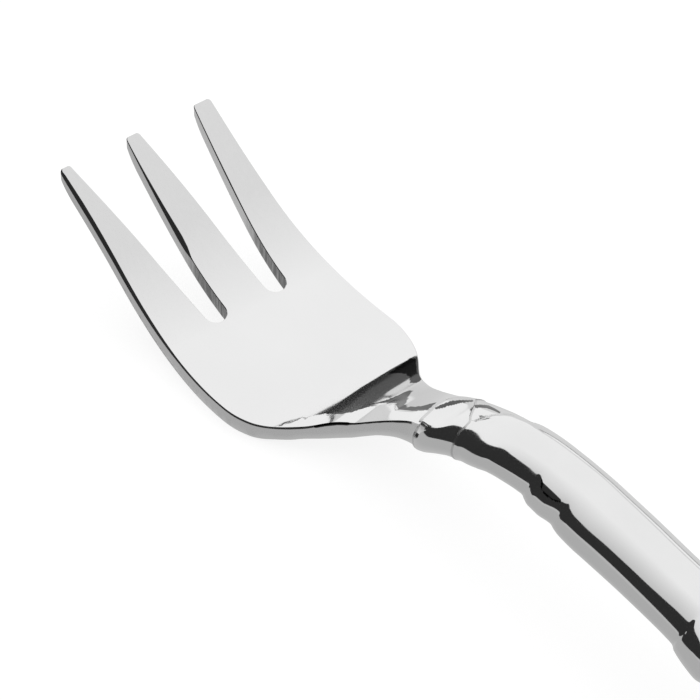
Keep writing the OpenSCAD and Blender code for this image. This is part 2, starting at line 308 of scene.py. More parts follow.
class Head:
    """Plate, tines and neck as formulas of D, the distance from the tips."""

    def __init__(self, s):
        self.s = s
        self.tine_end_d = s.belly_d - s.belly_r * math.sin(s.tine_slope)
        self.slot_x = s.mid_root_w / 2 + s.slot_r
        self.slot_end_d = s.slot_d - s.slot_r

    def half_w(self, d):
        s = self.s
        tines = curve(
            d, TINE_STRAIGHT_LEN * MM, s.tips_w / 2, 0, s.shoulder_d, s.plate_w / 2, 0)
        left = smooth(d, FLANK_D, FLANK_SHARE) / MM
        flank = (s.neck_w + (s.plate_w - s.neck_w) * left) / 2
        return np.where(d < s.shoulder_d, tines, flank)

    def slot_shift(self, d):
        s = self.s
        return curve(
            d, 0, s.slot_shift_tip, SLOT_DRIFT, SLOT_DRIFT_END_D * MM, s.slot_shift_end, 0)

    def mid_edge(self, d):
        s = self.s
        return curve(d, 0, s.mid_tip_w / 2, MID_FLARE[0],
                     self.slot_end_d, self.slot_x - s.slot_r, MID_FLARE[1])

    def side_edge(self, d):
        s = self.s
        return curve(d, 0, s.tips_w / 2 - s.side_tip_w, SIDE_FLARE[0],
                     self.slot_end_d, self.slot_x + s.slot_r, SIDE_FLARE[1])

    def bend(self, d):
        s = self.s
        reach = np.clip(np.abs(d - s.belly_d), 0, 0.99 * s.belly_r)
        dip = smooth(d, DIP_D, DIP)
        return s.plate_t - s.belly_flat + s.belly_r - np.sqrt(s.belly_r**2 - reach**2) - dip

    def top(self, d, crease_d=None):
        """Height of the upper face at D, for a crease that lies at crease_d."""
        s = self.s
        crease_d = s.crease_d if crease_d is None else crease_d
        tine = self.bend(self.tine_end_d) + (self.tine_end_d - d) * math.tan(s.tine_slope)
        run = np.clip((d - crease_d) / MM, 0, RAMP_RUN[-1])
        i = np.clip(np.searchsorted(RAMP_RUN, run) - 1, 0, len(RAMP_RUN) - 2)
        steps = np.diff(RAMP_RUN)
        risen = np.concatenate([[0], np.cumsum(steps * (RAMP_SLOPE[1:] + RAMP_SLOPE[:-1]) / 2)])
        t = run - RAMP_RUN[i]
        ramp = self.bend(crease_d) + MM * (
            risen[i] + RAMP_SLOPE[i] * t
            + (RAMP_SLOPE[i + 1] - RAMP_SLOPE[i]) / steps[i] * t * t / 2)
        return np.where(d < self.tine_end_d, tine,
                        np.where(d < crease_d, self.bend(d), ramp))

    def thickness(self, d):
        s = self.s
        thick_d, neck_start_d = THICKEN_LEN * MM, NECK_D[0] * MM
        short = np.clip(1 - d / (SHARPEN_LEN * MM), 0, 1)
        tine = curve(d, 0, s.tip_t, 0, thick_d, s.plate_t, 0) * (
            SHARP_SHARE + (1 - SHARP_SHARE) * np.sqrt(1 - short**2))
        neck = smooth(d, NECK_D, NECK_T)
        plate = curve(d, s.belly_d, s.plate_t, 0, neck_start_d, NECK_T[0] * MM, 0)
        return np.where(d < thick_d, tine, np.where(d < neck_start_d, plate, neck))

    def upper(self, x, d):
        """Height of the upper face, without its edge bevels."""
        s = self.s
        half_w = self.half_w(d)
        shift = line(x, CREASE_SHIFT_X, CREASE_SHIFT)
        base = self.top(d, s.crease_d + shift)
        late = line(d - s.crease_d - shift, LATE_RUN, LATE_FALL)
        base = base - late * (1 - smooth_step(x, -LATE_HALF_WIDTH, LATE_HALF_WIDTH))
        slant = SLANT_SHARE * shift
        border = line(d, BORDER_D, BORDER_X)
        from_right = 1 - np.clip((x - border) / (half_w - border), 0, 1)
        ramp = (base + slant * smooth_step(d, *RAMP_SLANT_D)
                + line(d, CROWN_D, CROWN) * from_right)
        strip = (base + slant * smooth_step(d, *STRIP_SLANT_D)
                 + STRIP_TILT * smooth_step(d, *STRIP_TILT_D) * np.maximum(x + half_w, 0))
        on_ramp = np.clip((x - border) / (BORDER_SOFT * MM) + 0.5, 0, 1)
        return ramp + (1 - on_ramp) * (strip - ramp)

    def lower(self, x, d):
        """Height of the lower face, without its edge rounding."""
        half = self.thickness(d) / 2
        power = through(d, NECK_D, NECK_POWER)
        across = np.clip(np.abs(x) / self.half_w(d), 0, 1)
        return self.top(d) - half - half * (1 - across**power) ** (1 / power)


# ---- Form of the collar and the handle --------------------------------------------------

# Slope of the handle's middle at the collar and at the start of its fall, and how fast the
# handle widens and thickens at its crest
RISE_SLOPE = 0.47
FALL_SLOPE = -0.118
CREST_WIDENING = 0.04
CREST_THICKENING = 0.1
# What the rounded butt leaves of the width at its very end, and how much less it takes of the
# thickness, as a power
BUTT_SHARE = 0.12
BUTT_POWER = 0.7

# Swelling between the rings, in mm, against the distance from the tips: left flank and
# underside, then the plain right flank and the top
SWELL_LEFT_D = np.array([
    42.0, 43.0, 43.6, 44.2, 45.0, 46.0, 47.5, 48.5, 50.0, 51.2, 52.2, 54.4, 56.2, 56.5,
    56.9, 57.6, 58.6, 59.9, 60.2, 60.6, 61.4, 62.8, 65.0, 69.0, 73.0, 74.5, 75.1, 75.5, 76.2,
    77.2, 78.4, 79.1, 79.4, 80.2, 84.0, 93.0, 95.2, 95.6, 96.6, 98.8, 99.2, 100.2, 105.0,
    115.5, 117.8, 118.2, 119.2, 121.5, 121.9, 122.9, 128.0, 145.0])
SWELL_LEFT = np.array([
    0.31, 0.48, 0.58, 0.57, 0.44, 0.27, 0.15, 0.17, 0.24, 0.17, 0.03, -0.12, -0.26, -0.28,
    -0.12, 0.07, 0.07, -0.14, -0.17, -0.06, 0.04, 0.06, 0.0, -0.10, -0.13, -0.10, -0.06, 0.18,
    0.36, 0.53, 0.64, 0.50, 0.47, 0.58, 0.40, 0.0, -0.08, -0.04, 0.30, 0.16, 0.14, 0.24, 0.20,
    -0.02, -0.06, -0.02, 0.26, 0.14, 0.12, 0.22, 0.10, 0.0])
SWELL_RIGHT_D = np.array([
    42.0, 42.6, 43.6, 45.0, 46.0, 47.0, 48.0, 49.1, 50.1, 51.0, 52.4, 54.4, 57.0, 59.0, 62.0,
    66.0, 71.0, 77.0, 84.0, 94.0, 100.0, 116.0, 122.0, 145.0])
SWELL_RIGHT = np.array([
    0.10, 0.18, 0.23, 0.23, 0.20, 0.14, 0.07, 0.00, -0.07, -0.12, -0.16, -0.17, -0.12, -0.05, 0.05,
    0.06, 0.0, 0.10, 0.15, 0.0, 0.10, 0.0, 0.10, 0.0])

# How the swelling goes round the handle, in degrees from the right flank over the top: where
# it sets in at each place along the handle, over how many degrees it rises, and how it fades
# again on the right of the underside
ONSET_D = [46, 55, 62, 74]
ONSET_DEG = [128, 118, 118, 105]
ONSET_RISE_DEG = 52
FADE_DEG = [0, 250, 320, 360]
FADE = [1, 1, 0, 0]
# How far along the handle the rings lean, in mm, from the lowest angle up
RING_LEAN = 1.1
LEAN_DEG = 207
LEAN_RISE_DEG = 57
LEAN_LEAST = -0.6

# Painted dark reflections: a crescent behind the collar's front lip, an arc over the leaf-shaped
# facet at the mouth and a patch between the first two rings; then the chased line round the facet,
# as X and D
CRESCENT = np.array([
    (-0.58, 42.75), (0.0, 42.95), (0.59, 43.4), (1.01, 44.15), (1.62, 45.1), (1.19, 45.6),
    (0.7, 44.75), (0.17, 44.1), (-0.46, 43.55), (-0.8, 43.15)])
LEAF_ARC = np.array([
    (0.83, 46.15), (1.38, 46.25), (1.84, 46.75), (1.7, 47.8), (1.39, 48.9), (1.15, 49.05),
    (1.23, 48.2), (1.21, 47.35), (0.91, 46.8), (0.46, 46.7)])
RING_SHADE = np.array([
    (-2.29, 58.22), (-2.45, 58.61), (-2.42, 58.94), (-2.39, 59.66), (-2.39, 60.35),
    (-2.47, 60.86), (-2.60, 60.68), (-2.74, 60.32), (-2.85, 59.84), (-2.88, 59.27),
    (-2.82, 58.76), (-2.54, 58.40)])
LEAF_LINE = np.array([
    (-1.12, 48.15), (-0.51, 48.2), (0.09, 48.4), (0.6, 48.7), (1.15, 49.05), (1.9, 49.7),
    (1.9, 49.9), (1.15, 49.25), (0.6, 48.9), (0.09, 48.6), (-0.51, 48.4), (-1.12, 48.35)])

# Facet on top of the collar: its tilt to the left, its right-hand ridge, how high that is as a
# share of the half thickness, where it starts to rise clear of the handle and how gently, and
# the rounding of its edges in mm
FACET_TILT = 0.17
FACET_X = 1.5
FACET_REACH = 1.02
FACET_END_D = 45
FACET_RUN = 3.2
FACET_CLEAR = 3
FACET_SOFT = 0.15

# Borders of the collar across the fork: distance from the tips against X, both in mm
FRONT_BORDER_X = [-2.9, -2.2, -1.3, -0.3, 0.7, 1.2, 1.5, 2.1, 2.7, 3.2]
FRONT_BORDER_D = [43.2, 42.75, 42.55, 42.35, 42.55, 42.9, 43.3, 43.9, 44.2, 44.3]
BACK_BORDER_X = [-2.9, -2.4, -1.8, -1.3, -0.7, -0.1, 0.5, 1.2, 1.9, 2.5, 3.2]
BACK_BORDER_D = [48.3, 48.05, 48.1, 48.0, 47.35, 46.85, 46.4, 45.7, 44.95, 44.95, 45.0]

# Border of the upper sheath over the leaf-shaped facet at the mouth
LEAF_X = [-1.1, -1.0, -0.24, 0.4, 0.89, 1.5, 1.8, 3.2]
LEAF_D = [47.0, 48.45, 48.95, 49.1, 49.6, 50.4, 51.6, 53.0]
LEAF_DEPTH = 0.16
LEAF_WIDTH = 0.22

# Fine crease along the right shoulder of the upper shell, and the low step outside it
FINE_CREASE_D = [49.0, 50.5, 54.0, 57.3, 61.0, 66.0, 71.0, 80.0, 138.0]
FINE_CREASE_X = [1.35, 1.58, 1.25, 1.42, 1.60, 1.55, 1.55, 1.6, 1.9]
FINE_CREASE_DEPTH = 0.06
FINE_CREASE_WIDTH = 0.24
FINE_CREASE_START_D = 49.2
FINE_CREASE_START_LEN = 2
FINE_CREASE_END_LEN = 9
FINE_CREASE_FADE_LEN = 10


def front_border(x):
    return line(x, FRONT_BORDER_X, FRONT_BORDER_D)


def back_border(x):
    return line(x, BACK_BORDER_X, BACK_BORDER_D)


def fine_crease(x, d):
    """Depth at points x, d of the low step outside the fine crease."""
    fade_in = np.clip((d - FINE_CREASE_START_D * MM) / (FINE_CREASE_START_LEN * MM), 0, 1)
    to_end = OVERALL_LEN - FINE_CREASE_END_LEN * MM - d
    fade_out = np.clip(to_end / (FINE_CREASE_FADE_LEN * MM), 0, 1)
    middle = line(d, FINE_CREASE_D, FINE_CREASE_X)
    past = (x - middle) / (FINE_CREASE_WIDTH * MM)
    return FINE_CREASE_DEPTH * MM * fade_in * fade_out * ease(past)


def leaf_step(x, d):
    """Depth of the leaf-shaped facet ahead of the border of the upper sheath."""
    border = line(x, LEAF_X, LEAF_D)
    return LEAF_DEPTH * MM * ease((border - d) / (LEAF_WIDTH * MM))


class Handle:
    """Middle line and cross-sections of the handle as formulas of D."""

    def __init__(self, s):
        self.s = s
        self.butt_d = OVERALL_LEN - s.butt_len
        self.places = [s.collar_d, s.mouth_d, s.crest_d, s.fall_d, self.butt_d]

    def rounding(self, d):
        t = np.clip((d - self.butt_d) / self.s.butt_len, 0, 1)
        return np.sqrt(1 - (1 - BUTT_SHARE**2) * t**2)

    def half_w(self, d):
        s = self.s
        w = chain(d, self.places, [s.collar_w, s.mouth_w, s.crest_w, s.fall_w, s.butt_w],
                  [0, 0, CREST_WIDENING, 0, 0])
        return w / 2 * self.rounding(d)

    def half_t(self, d):
        s = self.s
        t = chain(d, self.places, [s.collar_t, s.mouth_t, s.crest_t, s.fall_t, s.butt_t],
                  [0, 0, CREST_THICKENING, 0, 0])
        return t / 2 * self.rounding(d) ** BUTT_POWER

    def height(self, d):
        """Height of the handle's middle, which runs on straight ahead of the collar."""
        s = self.s
        middle = chain(d, [s.collar_d, s.crest_d, s.fall_d, self.butt_d],
                       [s.collar_h, s.crest_h, s.fall_h, s.butt_t / 2 - s.butt_flat],
                       [RISE_SLOPE, 0, FALL_SLOPE, 0])
        return middle + RISE_SLOPE * np.minimum(d - s.collar_d, 0)

    def swell(self, a, d):
        """How far the skin stands out from the plain oval at angles a and places d."""
        degrees = np.degrees(a) % 360
        lean = RING_LEAN * MM * np.clip((LEAN_DEG - degrees) / LEAN_RISE_DEG, LEAN_LEAST, 1)
        ringed = smooth(d - lean, SWELL_LEFT_D, SWELL_LEFT)
        plain = smooth(d, SWELL_RIGHT_D, SWELL_RIGHT)
        rise = np.clip((degrees - through(d, ONSET_D, ONSET_DEG)) / ONSET_RISE_DEG, 0, 1)
        part = ease(np.minimum(rise, np.interp(degrees, FADE_DEG, FADE)))
        return (plain + part * (ringed - plain)) * self.rounding(d)

    def skin(self, a, d, grow=0):
        """Points of the outer skin at angles a and places d, pushed out by grow."""
        w, t = self.half_w(d), self.half_t(d)
        c, s = np.cos(a), np.sin(a)
        out = grow + self.swell(a, d)
        size = np.sqrt((c / w) ** 2 + (s / t) ** 2)
        x = w * c + out * (c / w) / size
        z = self.height(d) + t * s + out * (s / t) / size
        rise = np.clip((d / MM - FACET_END_D) / FACET_RUN, 0, FACET_CLEAR) ** 2 * MM
        facet = (self.height(d) + FACET_REACH * t + smooth(d, SWELL_RIGHT_D, SWELL_RIGHT)
                 + grow - FACET_TILT * (FACET_X * MM - x) + rise)
        over = np.where(s > 0, z - facet, 0)
        soft = FACET_SOFT * MM
        z = z - np.where(over > soft, over,
                         np.where(over > -soft, (over + soft) ** 2 / (4 * soft), 0))
        return np.stack([x, TIPS_Y - d, np.maximum(z, 0)], axis=-1)


# ---- Mesh helpers -----------------------------------------------------------------------

MERGE_DISTANCE = 2e-7
# Angle between faces past which an edge looks sharp, in degrees
SHARP_DEG = 32


def deselect_all():
    bpy.ops.object.select_all(action="DESELECT")


def add_grid(name, points):
    """Adds a grid primitive and lays its vertices on an array of rows and columns of points."""
    rows, cols = points.shape[:2]
    deselect_all()
    bpy.ops.mesh.primitive_grid_add(
        x_subdivisions=cols - 1, y_subdivisions=rows - 1, size=1, location=(0, 0, 0))
    piece = bpy.context.object
    piece.name = piece.data.name = name
    if len(piece.data.vertices) != rows * cols:
        raise RuntimeError(f"{name}: the grid has {len(piece.data.vertices)} vertices")
    place_vertices(piece, points.reshape(-1, 3))
    return piece


def place_vertices(piece, points):
    piece.data.vertices.foreach_set("co", np.asarray(points, dtype=np.float32).ravel())
    piece.data.update()


def vertex_points(piece):
    flat = np.empty(3 * len(piece.data.vertices), dtype=np.float32)
    piece.data.vertices.foreach_get("co", flat)
    return flat.reshape(-1, 3).astype(float)


def set_values(piece, name, values):
    attribute = piece.data.attributes.new(name, "FLOAT", "POINT")
    attribute.data.foreach_set("value", np.asarray(values, dtype=np.float32).ravel())


def get_values(piece, name):
    flat = np.empty(len(piece.data.vertices), dtype=np.float32)
    piece.data.attributes[name].data.foreach_get("value", flat)
    return flat.astype(float)


def close_mesh(piece):
    """Joins the edges that meet, fills the ends and turns every face outwards."""
    bpy.context.view_layer.objects.active = piece
    bpy.ops.object.mode_set(mode="EDIT")
    bpy.ops.mesh.select_all(action="SELECT")
    bpy.ops.mesh.remove_doubles(threshold=MERGE_DISTANCE)
    bpy.ops.mesh.fill_holes(sides=0)
    bpy.ops.mesh.select_all(action="SELECT")
    bpy.ops.mesh.normals_make_consistent(inside=False)
    bpy.ops.object.mode_set(mode="OBJECT")


def finish_piece(piece, material, nodes):
    deselect_all()
    piece.select_set(True)
    bpy.context.view_layer.objects.active = piece
    bpy.ops.object.shade_smooth_by_angle(angle=math.radians(SHARP_DEG))
    piece.data.materials.clear()
    piece.data.materials.append(material)
    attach(piece, "root")
    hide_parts(*nodes)


# ---- Materials --------------------------------------------------------------------------


class Value:
    """A node socket on which + - * / and a few functions add Math nodes."""

    def __init__(self, nodes, socket):
        self.nodes, self.socket = nodes, socket

    def math(self, operation, *others, clamp=False):
        return self.nodes.add("ShaderNodeMath", {"operation": operation, "use_clamp": clamp},
                              {i: v for i, v in enumerate((self,) + others)})

    def __add__(self, other):
        return self.math("ADD", other)

    def __sub__(self, other):
        return self.math("SUBTRACT", other)

    def __mul__(self, other):
        return self.math("MULTIPLY", other)

    def __truediv__(self, other):
        return self.math("DIVIDE", other)

    def __rsub__(self, other):
        return self.nodes.number(other).math("SUBTRACT", self)

    __radd__ = __add__
    __rmul__ = __mul__

    def clamped(self):
        return self.math("ADD", 0.0, clamp=True)


class Nodes:
    """One node tree, to which nodes are added by type."""

    def __init__(self, owner):
        owner.use_nodes = True
        self.tree = owner.node_tree
        self.tree.nodes.clear()

    def add(self, kind, settings=None, inputs=None, output=0):
        node = self.tree.nodes.new(kind)
        for key, value in (settings or {}).items():
            if key == "stops":
                ramp = node.color_ramp
                while len(ramp.elements) < len(value):
                    ramp.elements.new(0.5)
                for element, (place, level) in zip(ramp.elements, value):
                    element.position, element.color = place, (level, level, level, 1)
            else:
                setattr(node, key, value)
        for key, value in (inputs or {}).items():
            socket = node.inputs[key]
            if isinstance(value, Value):
                self.tree.links.new(value.socket, socket)
            else:
                socket.default_value = value
        return Value(self, node.outputs[output]) if node.outputs else None

    def number(self, value):
        return self.add("ShaderNodeMath", {"operation": "ADD"}, {0: value, 1: 0.0})

    def parts(self, vector):
        """The X, Y and Z of a vector."""
        split = self.add("ShaderNodeSeparateXYZ", inputs={"Vector": vector}).socket.node
        return [Value(self, output) for output in split.outputs]

    def mix(self, factor, first, second):
        """A colour between two, each of them a socket or red, green and blue."""
        first, second = (c if isinstance(c, Value) else (*c, 1) for c in (first, second))
        return self.add("ShaderNodeMix", {"data_type": "RGBA"}, {
            "Factor": factor, 6: first, 7: second}, output=2)

    def finish(self, shader):
        self.add("ShaderNodeOutputMaterial", inputs={"Surface": shader})


def stretched_noise(nodes, place, scale, stretch, detail=3.0, rough=0.55):
    mapped = nodes.add("ShaderNodeMapping", inputs={"Vector": place, "Scale": stretch})
    return nodes.add("ShaderNodeTexNoise", inputs={
        "Vector": mapped, "Scale": scale, "Detail": detail, "Roughness": rough})


def darker(colour, part):
    return [part * c for c in colour]


# Scales of the polishing marks, the cloudy polish, the grain of cut edges and the cement
MARK_SCALE = 900.0
CLOUD_SCALE = 160.0
GRAIN_SCALE = 1500.0
GRIT_SCALE = 1400.0
# Where the painted shade on the tines sets in, in metres from the fork's middle, and how sharply
# it does
TINE_SHADE_Y = 0.0555
TINE_SHADE_SHARPNESS = 110
# What is left of a colour in the painted shade on the tines, in the painted shade on the walls of
# the slots, in the darkest painted reflections and in the hollows of the cement
TINE_SHADE_SHARE = 0.8
SLOT_SHARE = 0.35
BLACK_SHARE = 0.4
GRIT_SHARE = 0.6


def polished_steel(name, colour, cut_colour, painted_reflection_colour, cloudy):
    """Mirror-like steel with fine polishing marks, duller on the edges left by cutting, with
    painted shade on the tines towards their tips and on the walls of the slots towards their ends,
    and with painted
    dark reflections. The mesh says where: one attribute is 1 on an edge left by cutting and up to
    2 with painted shade in a slot, the other is 1 in a painted dark reflection and 2 in a black
    one."""
    material = bpy.data.materials.new(name)
    nodes = Nodes(material)
    place = nodes.add("ShaderNodeTexCoord", output=3)
    marks = stretched_noise(nodes, place, MARK_SCALE, (3.0, 0.35, 3.0))
    cloud = stretched_noise(nodes, place, CLOUD_SCALE, (1.0, 0.6, 1.0), detail=4.0)
    grain = stretched_noise(nodes, place, GRAIN_SCALE, (2.2, 2.2, 0.25), detail=2.0)
    cut = nodes.add("ShaderNodeAttribute", {"attribute_name": "cut"}, output=2)
    stain = nodes.add("ShaderNodeAttribute", {"attribute_name": "stain"}, output=2)
    _, y, _ = nodes.parts(place)
    # Painted shade on the tines, growing towards their tips
    tine_shade = ((y - TINE_SHADE_Y) * TINE_SHADE_SHARPNESS).clamped() * (0.84 + marks * 0.3)

    tone = nodes.mix((cloud * 1.6 - 0.3).clamped(), darker(colour, 1 - cloudy), colour)
    tone = nodes.mix(tine_shade.clamped(), tone, darker(colour, TINE_SHADE_SHARE))
    tone = nodes.mix((cut * (0.75 + grain * 0.5)).clamped(), tone, cut_colour)
    # Painted shade on the walls of the slots, towards their ends
    tone = nodes.mix(((cut - 1) * (0.1 + grain * 1.6)).clamped(),
                     tone, darker(cut_colour, SLOT_SHARE))
    # Painted dark reflections, and black ones where the value reaches 2
    tone = nodes.mix((stain * 4 + marks * 2 - 2.5).clamped(), tone, painted_reflection_colour)
    tone = nodes.mix((stain - 1).clamped(), tone, darker(painted_reflection_colour, BLACK_SHARE))

    roughness = 0.045 + cloud * 0.03 + marks * 0.02 + cut * (0.1 + grain * 0.18)
    bump = nodes.add("ShaderNodeBump", inputs={
        "Strength": 0.035, "Distance": 0.00002, "Height": marks * 0.5 + cloud * 0.5})
    nodes.finish(nodes.add("ShaderNodeBsdfPrincipled", inputs={
        "Base Color": tone, "Metallic": 1.0, "Roughness": roughness, "Normal": bump}))
    return material


def hard_cement(name, colour):
    material = bpy.data.materials.new(name)
    nodes = Nodes(material)
    place = nodes.add("ShaderNodeTexCoord", output=3)
    grit = stretched_noise(nodes, place, GRIT_SCALE, (1.0, 1.0, 1.0), detail=6.0, rough=0.7)
    bump = nodes.add("ShaderNodeBump", inputs={
        "Strength": 0.4, "Distance": 0.0001, "Height": grit})
    nodes.finish(nodes.add("ShaderNodeBsdfPrincipled", inputs={
        "Base Color": nodes.mix(grit, darker(colour, GRIT_SHARE), colour),
        "Roughness": 0.85, "Normal": bump}))
    return material


def lit_paper(name, level, glow):
    """Matt paper that glows as well, so that a shadow on it stays pale."""
    material = bpy.data.materials.new(name)
    nodes = Nodes(material)
    nodes.finish(nodes.add("ShaderNodeBsdfPrincipled", inputs={
        "Base Color": (level, level, level, 1), "Roughness": 0.9,
        "Emission Color": (1, 1, 1, 1), "Emission Strength": glow}))
    return material


def flat_glow(name, level):
    material = bpy.data.materials.new(name)
    nodes = Nodes(material)
    nodes.finish(nodes.add("ShaderNodeEmission", inputs={
        "Color": (level, level, level, 1), "Strength": 1.0}))
    return material


# The table as the steel reflects it: its greys between two places across the fork, and the
# line left of which it turns white, by its slant, its place and its softness
TABLE_X = (-0.01, 0.03)
TABLE_GREYS = [(0.0, 0.5), (0.35, 0.6), (1.0, 0.76)]
WHITE_SLANT = 0.51
WHITE_X = 0.0194
WHITE_SOFT = 0.004


def table_glow(name):
    material = bpy.data.materials.new(name)
    nodes = Nodes(material)
    x, y, _ = nodes.parts(nodes.add("ShaderNodeTexCoord", output=3))
    along = ((x - TABLE_X[0]) / (TABLE_X[1] - TABLE_X[0])).clamped()
    tone = nodes.add("ShaderNodeValToRGB", {"stops": TABLE_GREYS}, {"Fac": along})
    white = ((y * WHITE_SLANT - x - WHITE_X) / WHITE_SOFT).clamped() * (along * 3 - 1).clamped()
    nodes.finish(nodes.add("ShaderNodeEmission", inputs={
        "Color": nodes.mix(white, tone, (1, 1, 1)), "Strength": 1.0}))
    return material


# ---- Fork head --------------------------------------------------------------------------

# Distance between points along straight and long edges, round the tips and round the slots'
# ends, and the least that is kept, in mm
EDGE_STEP = 0.3
TIP_STEP = 0.06
SLOT_STEP = 0.09
LEAST_STEP = 0.02

# Width of the bevel along the upper edges, in mm: left edge of the head, left edge of the
# middle tine and left edge of the right tine
OUTER_BEVEL_D = [0, 0.6, 3, 6, 10, 14, 18, 24, 34, 44]
OUTER_BEVEL = [0.14, 0.24, 0.31, 0.3, 0.26, 0.2, 0.13, 0.1, 0.14, 0.12]
MIDDLE_BEVEL_D = [0, 1, 3, 6, 8.6, 9.6, 10.5, 11]
MIDDLE_BEVEL = [0.06, 0.08, 0.14, 0.26, 0.38, 0.3, 0.08, 0.05]
INNER_BEVEL_D = [0, 3, 6, 10, 15, 16]
INNER_BEVEL = [0.06, 0.08, 0.1, 0.08, 0.05, 0.05]
# Width of the bevel elsewhere, how far left the left tine reaches, how quickly the bevel
# widens as the edge turns left, the bevel's slope and the rounding of its own two edges
PLAIN_BEVEL = 0.06
LEFT_TINE_X = -4.2
LEFT_TURN = 1.6
BEVEL_DEG = 50
BEVEL_SOFT = 0.03

# How far inside the outline the large faces begin, in mm, and how much more than the bevel
REACH_D = [0, 2, 5]
REACH = [0.3, 0.5, 0.66]
REACH_MARGIN = 0.05
# Loops between the outline and the lower face, and the levels of those between the faces
UNDER_INSETS = [0, 0.02, 0.06, 0.3]
WALL_LEVELS = [0.75, 0.5, 0.25]

# Corners above which a face is one of the two large ones, and the cuts through those, in mm,
# closer together on the ramp between plate and neck
LARGE_FACE_CORNERS = 50
CUTS_X = np.concatenate([
    np.arange(-9.25, -5.3, 0.5), np.arange(-5.25, 5.3, 0.15), np.arange(5.5, 9.3, 0.5)])
CUTS_D = np.concatenate([
    np.arange(0.5, 30.3, 0.5), np.arange(30.4, 42.5, 0.15), np.arange(42.7, 44.2, 0.5)])

# Where the painted shade on the walls of the slots sets in, over what length it deepens, and how
# far inside the head's flanks an edge has to lie to be a wall of a slot, in mm
SLOT_DARK_D = 9
SLOT_DARK_LEN = 3
SLOT_MARGIN = 0.6
# Part of the left edge whose bevel carries a painted dark reflection as a line, as distances from
# the tips in mm
LEFT_LINE_D = (33, 42.3)
# How far the neck runs on inside the collar, and the points across its end
NECK_OVERLAP = 0.3
NECK_END_POINTS = 24
NECK_END_SLACK = 0.4


def arc(cx, cd, r, start, stop, step):
    """Points (x, d) on an arc, angles in degrees from +X towards growing d."""
    count = max(2, int(math.ceil(abs(math.radians(stop - start)) * r / step)))
    angles = np.radians(np.linspace(start, stop, count + 1))
    return [(cx + r * math.cos(a), cd + r * math.sin(a)) for a in angles]


def edge_line(x_of_d, d_from, d_to):
    count = max(2, int(math.ceil(abs(d_to - d_from) / (EDGE_STEP * MM))))
    return [(float(x_of_d(np.array(d))), d) for d in np.linspace(d_from, d_to, count + 1)]


def head_outline(head, right_end_d, left_end_d):
    """Outline of the head from the neck's right flank round all tines to its left flank."""
    s = head.s
    shift, slot_d, r = head.slot_shift, head.slot_end_d, s.tip_r
    tip_step, slot_step = TIP_STEP * MM, SLOT_STEP * MM

    def tine_tip(right_x, left_x):
        return (arc(right_x - r, r, r, 0, -90, tip_step)
                + arc(left_x + r, r, r, -90, -180, tip_step))

    def slot_end(side):
        x = shift(np.array(slot_d)) + side * head.slot_x
        return arc(x, slot_d, s.slot_r, 0, 180, slot_step)

    at_r = np.array(r)
    outer = float(head.half_w(at_r))
    side, mid, off = float(head.side_edge(at_r)), float(head.mid_edge(at_r)), float(shift(at_r))
    points = edge_line(head.half_w, right_end_d, r)
    points += tine_tip(outer, side + off)
    points += edge_line(lambda d: head.side_edge(d) + shift(d), r, slot_d)
    points += slot_end(1)
    points += edge_line(lambda d: head.mid_edge(d) + shift(d), slot_d, r)
    points += tine_tip(mid + off, off - mid)
    points += edge_line(lambda d: shift(d) - head.mid_edge(d), r, slot_d)
    points += slot_end(-1)
    points += edge_line(lambda d: shift(d) - head.side_edge(d), slot_d, r)
    points += tine_tip(off - side, -outer)
    points += edge_line(lambda d: -head.half_w(d), r, left_end_d)
    kept = [points[0]]
    for p in points[1:]:
        if math.hypot(p[0] - kept[-1][0], p[1] - kept[-1][1]) > LEAST_STEP * MM:
            kept.append(p)
    return np.array(kept)


def bevel_width(x, d, nx):
    """Width of the bevel along the upper edge, by place and by the way the edge faces."""
    left = np.where(
        x < LEFT_TINE_X * MM, line(d, OUTER_BEVEL_D, OUTER_BEVEL),
        np.where(x < 0, line(d, MIDDLE_BEVEL_D, MIDDLE_BEVEL),
                 line(d, INNER_BEVEL_D, INNER_BEVEL)))
    facing_left = np.clip(-nx * LEFT_TURN, 0, 1)
    return PLAIN_BEVEL * MM + facing_left * np.maximum(left - PLAIN_BEVEL * MM, 0)


def outward_normals(outline):
    tangent = np.roll(outline, -1, axis=0) - np.roll(outline, 1, axis=0)
    tangent[0], tangent[-1] = outline[1] - outline[0], outline[-1] - outline[-2]
    tangent /= np.linalg.norm(tangent, axis=1)[:, None]
    normal = np.stack([-tangent[:, 1], tangent[:, 0]], axis=1)
    return normal if normal[0, 0] > 0 else -normal


def head_end(x):
    """Where the neck ends, a little inside the collar."""
    return front_border(x) + NECK_OVERLAP * MM


def edge_loops(under_round, bevel, reach):
    """Loops round the head's edge, from the upper face to the lower one. Each has how far it
    lies inside the outline, its level from 1 at the top to 0, how far it lies below the upper
    face and how far above the lower one."""
    none = 0 * bevel
    soft = np.minimum(BEVEL_SOFT * MM, bevel / 4)
    past = bevel + BEVEL_SOFT * MM
    slope = math.tan(math.radians(BEVEL_DEG))

    def rise(inset):
        return under_round - np.sqrt(under_round**2 - np.maximum(under_round - inset, 0) ** 2)

    upper = [reach, (past + reach) / 2, past, bevel, bevel - soft, bevel / 2, soft, none]
    *under, last = [none + inset * MM for inset in UNDER_INSETS]
    under += [none + under_round, last, reach]
    return (
        [(inset, 1.0, np.maximum(bevel - inset, 0) * slope, none) for inset in upper]
        + [(none, level, bevel * slope, rise(none)) for level in WALL_LEVELS]
        + [(inset, 0.0, none, rise(inset)) for inset in under]
    )


